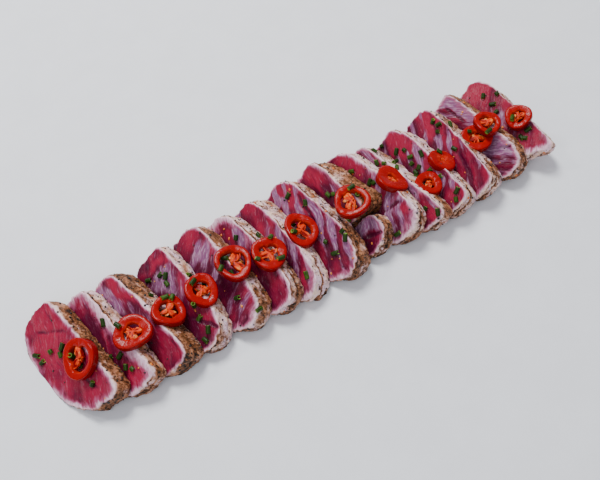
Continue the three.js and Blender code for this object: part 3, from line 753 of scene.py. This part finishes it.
def slice_surface(name, settings):
    """One slice, as rows round its outline. Noise dents the face and pushes the seared side, which
    swells by half a sine, in and out. Its attributes are the place along, across and below its
    muscle bands, the distance from the outline in widths of the pale rim, how seared it is, and how
    much painted lilac sheen, red and browning it has; painted shade lowers the red low on the middle
    faces and in the creases."""
    names = list(SLICES)
    index = names.index(name)
    after = index + (2 if name == "slice_09_upper" else 1)
    piece, look = SLICES[name], LOOKS[name]
    rest = SLICES[names[after]] if after < len(names) else None
    seed = index + 1
    part, inset, depth, on_face, on_crust, seared, toasting = slice_rows(piece.thick)
    near, far, half_v = extent(piece)
    middle_u = (near + far) / 2
    du, dv = outline(piece, np.arange(ROUND_STEPS) / ROUND_STEPS, seed)
    reach = np.hypot(du, dv)

    def spread(extra):
        scale = part * (1 - (inset + extra) / reach)
        return middle_u + du * scale, -half_v + dv * scale

    u, v = spread(0)
    depth = np.repeat(depth, ROUND_STEPS, 1)
    shift = np.array([37, 53, 71]) * seed
    local = np.stack([u, v, depth], -1) + shift
    angle = math.radians(look.bands)
    wander = 2.2 * noise(local, 12, 19) + 0.7 * noise(local, 4, 20)
    across = v * math.cos(angle) - u * math.sin(angle) + wander
    grain = np.stack([u * math.cos(angle) + v * math.sin(angle), across, depth], -1) + shift

    # The shape
    bumps = noise(local, 3.3, 1) + 0.8 * noise(local, 1.7, 2) + 0.4 * noise(local, 0.9, 3)
    ridges = noise((grain - shift) * (0.2, 1, 1) + shift, 2.4, 5)
    dents = noise(local, 9, 4) + 0.6 * ridges + 0.3 * noise(local, 2, 6)
    crease_u, crease_v = u - near + 0.7 * noise(local, 3, 14), v + 0.5 * noise(local, 2, 15)
    crease_shade, crease_depth = creased(name, crease_u, crease_v)
    fold, fold_cut = folded(name, u - near, depth, local)
    u, v = spread((fold_cut * fold - settings.crags * 1000 * bumps) * on_crust)
    depth = depth - (settings.relief * 1000 * dents - crease_depth) * on_face
    positions = place(piece, rest, u, v, depth)
    height = np.maximum(positions[..., 2], 0)
    positions[..., 2] = height

    # The pale rim, with the widths of the sides nearby
    tangent = np.roll(np.stack([du, dv]), -1, 1) - np.roll(np.stack([du, dv]), 1, 1)
    square_on = np.abs(tangent[0] * dv - tangent[1] * du) / np.hypot(*tangent) / reach
    inner = reach * (1 - part * (1 - inset / reach)) * square_on
    gaps = np.stack([-v, u - near, far - u, v + 2 * half_v], -1)
    closeness = np.exp(-np.maximum(gaps, 0) / 3)
    closeness = closeness / closeness.sum(-1, keepdims=True)
    width = closeness @ np.array(look.rims)
    rim = inner / (width * (1 + 0.4 * noise(local, 5, 8) + 0.2 * noise(local, 1.8, 16)))

    # Painted lilac sheen and red, in bands and in patches, with painted shade lowering the red low
    # on the middle faces
    along_share = (u - near) / (far - near)
    near_sheen, far_sheen = look.lilac
    stripes = look.stripes * np.sin(2 * math.pi * across / BAND_PITCH + seed)
    sheen = near_sheen + (far_sheen - near_sheen) * smooth(along_share, 0.1, 0.9) - 0.12 + stripes
    redness = 0.5 - 0.2 * stripes + 0.3 * noise(local, 8, 10) + 0.2 * ridges
    # Painted shade: on each slice between two neighbours the lower part of the face is made less red,
    # towards the deep flesh colour, where the slice in front shades it
    if 0 < index < len(names) - 1:
        redness -= 0.35 * smooth(-v, 5, 15)
    warped_u, warped_v = u - near + 2.4 * noise(local, 6, 17), v + 1.6 * noise(local, 4, 18)
    for place_u, place_v, wide, high, lilac, red, *pale in PATCHES[name]:
        spot = bell(warped_u - place_u, wide) * bell(warped_v - place_v, high)
        sheen += lilac * spot
        redness += red * spot
        rim *= 1 - sum(pale) * spot
    # Painted shade: the pale rim is held back along the creases, so they stay dark
    rim = np.clip(rim + 0.8 * crease_shade, 0, 2)

    # Browning, stronger in the fold and in a broken line beside the cut face; the band within about
    # 3 mm of the floor is made darker too
    browning = np.interp(along_share, [0.1, 0.5, 0.9], look.browning)
    browning += 0.3 * noise(local, 7, 12) + 0.2 * noise(local, 3, 13)
    browning += 0.7 * smooth(height, 3.2, 0.6) - 0.5 * smooth(depth, 2.2, 0.4)
    line = bell(depth - 0.9 - 0.4 * noise(local, 4, 23), 0.45)
    browning += 1.1 * fold + 1.6 * line * smooth(noise(local * (1, 1, 0.2), 9, 24), -0.1, 0.35)
    browning += 0.5 * toasting * (v < -half_v) * (depth < 2)
    # The lilac sheen wanders at random, and painted shade in the creases makes them less lilac and less
    # red
    sheen += 0.2 * noise(local, 12, 9) - 0.5 * crease_shade
    tone = np.stack([sheen, redness - 0.7 * crease_shade, browning], -1)
    tone = np.clip(tone, (-0.3, 0, 0), (1.2, 1, 1.3))
    underside = smooth(height, 1.3, 0.4) * smooth(inner, 1.6, 0.5)
    low_side = closeness[..., 1] + closeness[..., 3]
    toasted = smooth(low_side, 0.45, 0.85) * smooth(noise(local, 7, 26), -0.35, 0.1) * toasting
    sear = np.maximum(np.maximum(seared, underside), toasted)

    def closed(values, ends):
        rows = values.reshape((-1,) + values.shape[2:])
        first, last = (np.broadcast_to(end, (1,) + rows.shape[1:]) for end in ends)
        return np.concatenate([first, rows, last])

    middle = np.array([middle_u]), np.array([-half_v])
    poles = [place(piece, rest, *middle, np.array([end])) for end in (0.0, piece.thick)]
    layers = {
        "grain": closed(grain, (grain[0].mean(0), grain[-1].mean(0))) / 1000,
        "rim": closed(rim, (2, 2)),
        "sear": closed(sear, (0, 1)),
        "tone": closed(tone, (tone[0].mean(0), tone[-1].mean(0))),
    }
    return closed(positions, poles), grid_faces(len(part), ROUND_STEPS), layers


def sighted(spot, height):
    """The point at a height on the line from the eye through a spot sighted at SIGHT_LEVEL."""
    return EYE + (np.array([*spot, SIGHT_LEVEL]) - EYE) * (EYE[2] - height) / (EYE[2] - SIGHT_LEVEL)


def ring_frame(ring):
    """A ring's turned axes as a matrix, and its centre."""
    left, near = np.radians(ring.tilt)
    turned = Matrix.Rotation(near, 3, "X") @ Matrix.Rotation(-left, 3, "Y")
    return np.array(turned), sighted(ring.spot, ring.height)


def web_angles(ring, seed):
    """The directions of a ring's webs, evenly round but for those that are missing."""
    return [seed + 2 * math.pi * web / max(ring.webs, 3) for web in range(ring.webs)]


def off(angle, direction):
    """The angle from a direction, from minus half a turn to half a turn."""
    return np.angle(np.exp(1j * (angle - direction)))


def ring_surface(ring, seed, waviness):
    """A chilli ring: a rounded box carried round a slightly three-sided oval, wider where a web
    meets it, on a gently waving plane. Its attribute says how far inside and how close to the skin
    each point lies."""
    angle, turn = np.meshgrid(around(RING_STEPS), around(SECTION_STEPS))
    webs = [bell(off(angle, direction), 0.34) for direction in web_angles(ring, seed)]
    hole = max(ring.hole, 0.1) * (1 - 0.2 * np.max([0 * angle, *webs], 0))
    section = np.sign(np.cos(turn)) * np.abs(np.cos(turn)) ** 0.55
    level = np.sign(np.sin(turn)) * np.abs(np.sin(turn)) ** 0.4
    radial = (1 + hole) / 2 + section * (1 - hole) / 2
    rough = polar(4, angle, 3 * radial + level) + 11 * seed
    radial = radial + 0.022 * noise(rough, 1.6, 21) * np.where(section < 0, 1.6, 0.8)
    stray = 1 + RING_LOBES * np.cos(3 * angle + seed)
    bend = waviness * 1000 * np.sin(2 * angle + 2 * seed)
    dip = 0.3 * smooth(1 - radial, 0.1, 0.5) * (level > 0)
    height = RING_THICKNESS / 2 * level + bend - dip + 0.12 * noise(rough, 0.9, 22)
    local = polar(radial * stray, angle, height) * (*ring.radii, 1)
    turned, centre = ring_frame(ring)
    positions = local.reshape(-1, 3) @ turned.T + centre
    inside = smooth((radial - hole) / (1 - hole), 0.45, 0.02) if ring.hole else smooth(radial, 0.75, 0.42)
    skin = smooth(section, 0.8, 0.97)
    cut = np.stack([inside, skin, 0 * skin], -1).reshape(-1, 3)
    faces = [face[::-1] for face in grid_faces(SECTION_STEPS, RING_STEPS, poles=False)]
    return positions, faces, {"cut": cut}


def placenta_surface(ring, seed):
    """The ribs in a ring's hole: a flat, rough star whose arms are bells round the webs' directions
    and reach the wall. Also how pale each point is."""
    angle, rise = globe(*RIB_GRID)
    rng = np.random.default_rng(40 + seed)
    wall = max(ring.hole, 0.3) * sum(ring.radii) / 2
    arms, level = 0 * angle, 0 * angle
    for direction in web_angles(ring, seed):
        away = off(angle, direction + rng.uniform(-0.3, 0.3))
        arm = bell(away, rng.uniform(0.42, 0.8))
        arms = np.maximum(arms, arm * rng.uniform(0.7, 1.05))
        level += arm * rng.uniform(-0.6, 0.5)
    lump = polar(1, angle, rise) * 2 + 5 * seed
    hub = HUB_RADIUS * rng.uniform(0.7, 1)
    star = hub + (wall + 0.8 - hub) * arms + 0.55 * noise(lump, 0.7, 31)
    radial = star * np.cos(rise) ** 0.55
    lumps = noise(lump, 0.75, 33)
    level = level + 1.2 * np.sin(rise) * (1 - 0.3 * arms) + 0.9 * lumps - 0.1
    turned, centre = ring_frame(ring)
    # Paler on the higher lumps and the upper side, dark red in the hollows and underneath
    core = smooth(lumps + 0.25 * np.sin(rise), -0.15, 0.5)
    core = np.concatenate([[0.5], core.ravel(), [0.5]])
    local = capped([0, 0, -1.1], polar(radial, angle, level), [0, 0, 1.5])
    return local @ turned.T + centre, grid_faces(*RIB_GRID[::-1]), core


def pebble(columns, rows, seed, rough, flat=1.0):
    """A lumpy crumb: a ball of radius 1 that noise makes uneven, flattened."""
    angle, rise = globe(columns, rows)
    ball = capped([0, 0, -1.0], polar(np.cos(rise), angle, np.sin(rise)), [0, 0, 1.0])
    ball = ball * (1 + rough * noise(ball + 3.1 * seed, 0.9, 41)[:, None])
    return ball * (1, 1, flat), grid_faces(rows, columns)


def upright(normal, spin):
    """The columns of a matrix: two axes along a surface, turned by spin, and its normal."""
    normal = normal / np.linalg.norm(normal)
    side = np.cross(polar(1, spin, 0), normal)
    side = side / np.linalg.norm(side)
    return np.stack([side, np.cross(normal, side), normal], -1)


def chive_surface(length, radius, wall, rng):
    """A cut length of chive: a bent, squashed tube with slanting ends, whose rows run out along its
    outside and back along its inside. Also which points lie outside, and how flat it is."""
    turn, walk = np.meshgrid(around(CHIVE_COLUMNS), np.arange(CHIVE_ROWS) / CHIVE_ROWS)
    outside = walk < 0.5
    half_step = 2 / CHIVE_ROWS
    run = np.where(outside, walk * 4 - 1 + half_step, 3 - walk * 4 - half_step)
    section = np.where(outside, radius, radius - wall)
    slant, bend, squash = rng.uniform(-0.5, 0.5), rng.uniform(-0.06, 0.06), rng.uniform(0.72, 1)
    along = run * length / 2
    local = np.stack([
        along + slant * section * np.sin(turn) * np.abs(run),
        section * np.cos(turn) * (1 + 0.04 * np.cos(3 * turn)) + bend * along**2,
        section * np.sin(turn) * squash,
    ], -1)
    return local.reshape(-1, 3), outside.ravel(), squash


def read(items, field, columns=1, kind=float):
    """One property of every item as an array, with so many numbers for each."""
    values = np.empty(len(items) * columns, dtype=kind)
    items.foreach_get(field, values)
    return values if columns == 1 else values.reshape(-1, columns)


def surface_spots(number, seed, seared_share):
    """Random places on the slices as the camera sees them, with their normals: that share of them
    on the seared sides and the rest on the cut faces."""
    rng = np.random.default_rng(seed)
    found = []
    for name in SLICES:
        mesh = bpy.data.objects[name + "_flesh"].data
        corner = read(mesh.loops, "vertex_index", kind=int)[read(mesh.polygons, "loop_start", kind=int)]
        sear = read(mesh.attributes["sear"].data, "value")[corner]
        spots = read(mesh.polygons, "center", 3) * 1000 + ROW_MIDDLE
        found.append((spots, read(mesh.polygons, "normal", 3), read(mesh.polygons, "area"), sear > 0.5))
    places, normals, areas, seared = (np.concatenate(values) for values in zip(*found))
    sight = EYE - places
    facing = np.sum(sight * normals, 1) / np.linalg.norm(sight, axis=1) > 0.15
    shown = facing & (places[:, 2] > LOWEST_CRUMB)
    chosen = []
    for kind, part in ((True, seared_share), (False, 1 - seared_share)):
        weight = areas * shown * (seared == kind)
        chosen.append(rng.choice(len(areas), int(number * part), p=weight / weight.sum()))
    chosen = np.concatenate(chosen)
    return places[chosen], normals[chosen], rng


def scatter(name, spots, shape, size, material, slot):
    """One piece of many crumbs, each a pebble of its own size and turn."""
    places, normals, rng = spots
    columns, rows, rough, flat = shape
    parts = []
    for i, (spot, normal) in enumerate(zip(places, normals)):
        points, faces = pebble(columns, rows, i % 23, rough, flat)
        sizes = size * rng.uniform(0.5, 1.5) * rng.uniform(0.7, 1.3, 3)
        turned = upright(normal, rng.uniform(0, 2 * math.pi))
        parts.append(((points * sizes) @ turned.T + spot + normal * size * 0.2, faces))
    make_piece(name, *join(parts), {}, material, slot)


class TUNA_OT_slices(bpy.types.Operator):
    """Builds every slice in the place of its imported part"""

    bl_idname = "tuna_row.slices"
    bl_label = "Tuna slices"

    def execute(self, context):
        settings = context.scene.tuna_flesh
        material = flesh_material(settings)
        for name in SLICES:
            make_piece(name + "_flesh", *slice_surface(name, settings), material, "seared_tuna", [name])
        return {"FINISHED"}


class TUNA_OT_rings(bpy.types.Operator):
    """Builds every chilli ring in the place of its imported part"""

    bl_idname = "tuna_row.rings"
    bl_label = "Chilli rings"

    def execute(self, context):
        settings = context.scene.tuna_chilli
        material = chilli_material(settings)
        for number, ring in enumerate(RINGS, 1):
            name = f"chilli_ring_{number:02d}"
            surface = ring_surface(ring, number, settings.waviness)
            make_piece(name + "_flesh", *surface, material, "chilli", [name])
        return {"FINISHED"}


class TUNA_OT_placentas(bpy.types.Operator):
    """Builds the ribs inside the chilli rings, and the seeds that show between them"""

    bl_idname = "tuna_row.placentas"
    bl_label = "Chilli ribs and seeds"

    def execute(self, context):
        settings = context.scene.tuna_chilli
        surfaces = [placenta_surface(ring, number) for number, ring in enumerate(RINGS, 1)]
        positions, faces = join([surface[:2] for surface in surfaces])
        core = np.concatenate([surface[2] for surface in surfaces])
        layers = {"cut": np.stack([core, 0 * core, 0 * core], -1)}
        make_piece("chilli_placentas", positions, faces, layers, placenta_material(settings), "chilli")
        rng = np.random.default_rng(5)
        parts = []
        for number, ring in enumerate(RINGS, 1):
            turned, centre = ring_frame(ring)
            for direction in web_angles(ring, number)[: ring.seeds]:
                points, corners = pebble(18, 9, number, 0.12, 0.3)
                where = direction + rng.uniform(0.5, 0.9)
                away = ring.hole * ring.radii[0] * rng.uniform(0.4, 0.6)
                spot = polar(away, where, rng.uniform(-0.6, 0.5))
                normal = np.array([rng.uniform(-0.7, 0.7), rng.uniform(-0.7, 0.7), 1])
                lying = (points * SEED_RADII) @ upright(normal, rng.uniform(0, 6)).T + spot
                parts.append((lying @ turned.T + centre, corners))
        tints = settings.cream, settings.orange
        cream = mottled_material("chilli_seed", *tints, 0.0009, (0.4, 0.7, 0.5), (0.35, 0.5))
        make_piece("chilli_seeds", *join(parts), {}, cream, "chilli")
        return {"FINISHED"}


class TUNA_OT_chives(bpy.types.Operator):
    """Builds the chopped chives, each where the line of sight through its spot meets the food"""

    bl_idname = "tuna_row.chives"
    bl_label = "Chives"

    def execute(self, context):
        settings = context.scene.tuna_chive
        radius, wall = settings.radius * 1000, settings.wall * 1000
        graph = context.evaluated_depsgraph_get()
        food = [thing for thing in bpy.data.objects if thing.name.endswith("_flesh")]
        trees = [BVHTree.FromObject(thing, graph) for thing in food]
        rng = np.random.default_rng(8)
        parts, stems, places = [], [], []
        for order, spot in enumerate(CHIVE_SPOTS):
            aim = Vector(sighted(spot, 0) - EYE)
            hits = [tree.ray_cast(Vector(in_frame(EYE)), aim) for tree in trees]
            hits = [hit for hit in hits if hit[0] is not None]
            if not hits:
                continue
            point, normal, _, _ = min(hits, key=lambda hit: hit[3])
            length = CHIVE_LEAST + CHIVE_SPREAD * ((order * GOLDEN) % 1)
            turned = upright(np.array(normal), 2 * math.pi * order * GOLDEN)
            local, outside, squash = chive_surface(length, radius, wall, rng)
            centre = np.array(point) * 1000 + ROW_MIDDLE + np.array(normal) * radius * squash * 0.6
            parts.append((local @ turned.T + centre, grid_faces(CHIVE_ROWS, CHIVE_COLUMNS, poles=False)))
            inner = np.where(outside, 0.0, 1.0)
            stems.append(np.stack([inner, 0 * inner + rng.uniform(0, 1), 0 * inner], -1))
            places.append(local / 1000 + order * 0.01)
        layers = {"stem": np.concatenate(stems), "stem_place": np.concatenate(places)}
        make_piece("chopped_chives", *join(parts), layers, chive_material(settings), "chive")
        return {"FINISHED"}


class TUNA_OT_seasoning(bpy.types.Operator):
    """Strews crushed pepper over the seared sides, and a few chilli crumbs over the cut faces"""

    bl_idname = "tuna_row.seasoning"
    bl_label = "Pepper and chilli crumbs"

    def execute(self, context):
        s = context.scene.tuna_seasoning
        dark = [0.4 * c for c in s.black]
        spice = 0.0006, (0.35, 0.65, 1), (0.4, 0.6)
        black = mottled_material("black_pepper", dark, s.black, *spice)
        spots = surface_spots(s.grains, 3, 0.88)
        scatter("pepper_grains", spots, (8, 5, 0.3, 1.0), s.grain_size * 1000, black, "seared_tuna")
        ember = mottled_material("chilli_crumb", s.glow, s.ember, *spice)
        spots = surface_spots(s.flakes, 4, 0.3)
        scatter("chilli_crumbs", spots, (8, 5, 0.25, 0.5), s.flake_size * 1000, ember, "chilli")
        return {"FINISHED"}


class TUNA_OT_stage(bpy.types.Operator):
    """Adds the floor, the soft lights and the camera"""

    bl_idname = "tuna_row.stage"
    bl_label = "Stage"

    def execute(self, context):
        s = context.scene.tuna_stage
        side, step = np.linspace(-FLOOR_HALF, FLOOR_HALF, FLOOR_LINES), np.arange(FLOOR_LINES - 1)
        x, y = np.meshgrid(side, side)
        points = np.stack([x, y, 0 * x - FLOOR_DROP], -1).reshape(-1, 3)
        low = step[:, None] * FLOOR_LINES + step
        faces = np.stack([low, low + 1, low + FLOOR_LINES + 1, low + FLOOR_LINES], -1).reshape(-1, 4)
        mesh = bpy.data.meshes.new("stage_floor")
        mesh.from_pydata(points.tolist(), [], faces.tolist())
        shade = [0.97 * c for c in s.floor]
        paper = mottled_material("stage_floor", s.floor, shade, 0.02, (0.3, 0.7, 1), (0.8, 0.8), 3)
        mesh.materials.append(paper)
        link("stage_floor", mesh)
        world = bpy.data.worlds.new("studio")
        world.use_nodes = True
        world.node_tree.nodes.clear()
        sky = add(world.node_tree, "Background", {"Color": rgba(s.sky), "Strength": s.strength})
        add(world.node_tree, "OutputWorld", {"Surface": sky[0]})
        context.scene.world = world
        for name, spot, size, part, code in LAMPS:
            lamp = bpy.data.lights.new(name, "AREA")
            lamp.size = size
            lamp.energy = s.key * part
            lamp.color = srgb(code)
            aimed(name, lamp, spot, (0, 0, 0))
        camera = bpy.data.cameras.new("camera")
        camera.lens = 41.76
        camera.sensor_width = 36
        camera.clip_start = 0.01
        context.scene.camera = aimed("camera", camera, in_frame(EYE), in_frame(np.zeros(3)))
        return {"FINISHED"}


OPERATORS = (
    TUNA_OT_slices, TUNA_OT_rings, TUNA_OT_placentas, TUNA_OT_chives, TUNA_OT_seasoning, TUNA_OT_stage,
)
GROUPS = {
    "tuna_flesh": FleshSettings,
    "tuna_chilli": ChilliSettings,
    "tuna_chive": ChiveSettings,
    "tuna_seasoning": SeasoningSettings,
    "tuna_stage": StageSettings,
}


class TUNA_PT_row(bpy.types.Panel):
    """The settings and the pieces of the row"""

    bl_label = "Seared tuna row"
    bl_idname = "TUNA_PT_row"
    bl_space_type = "VIEW_3D"
    bl_region_type = "UI"
    bl_category = "Tuna"

    def draw(self, context):
        for key, group in GROUPS.items():
            box = self.layout.box()
            for field in group.__annotations__:
                box.prop(getattr(context.scene, key), field)
        for operator in OPERATORS:
            self.layout.operator(operator.bl_idname)


def register():
    for kind in (*GROUPS.values(), *OPERATORS, TUNA_PT_row):
        bpy.utils.register_class(kind)
    for key, group in GROUPS.items():
        setattr(bpy.types.Scene, key, bpy.props.PointerProperty(type=group))


def unregister():
    for key in GROUPS:
        delattr(bpy.types.Scene, key)
    for kind in (TUNA_PT_row, *OPERATORS, *GROUPS.values()):
        bpy.utils.unregister_class(kind)


def main():
    """Registers the add-on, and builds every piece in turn."""
    register()
    bpy.ops.tuna_row.slices()
    bpy.ops.tuna_row.rings()
    bpy.ops.tuna_row.placentas()
    bpy.ops.tuna_row.chives()
    bpy.ops.tuna_row.seasoning()
    bpy.ops.tuna_row.stage()


if __name__ == "__main__":
    main()
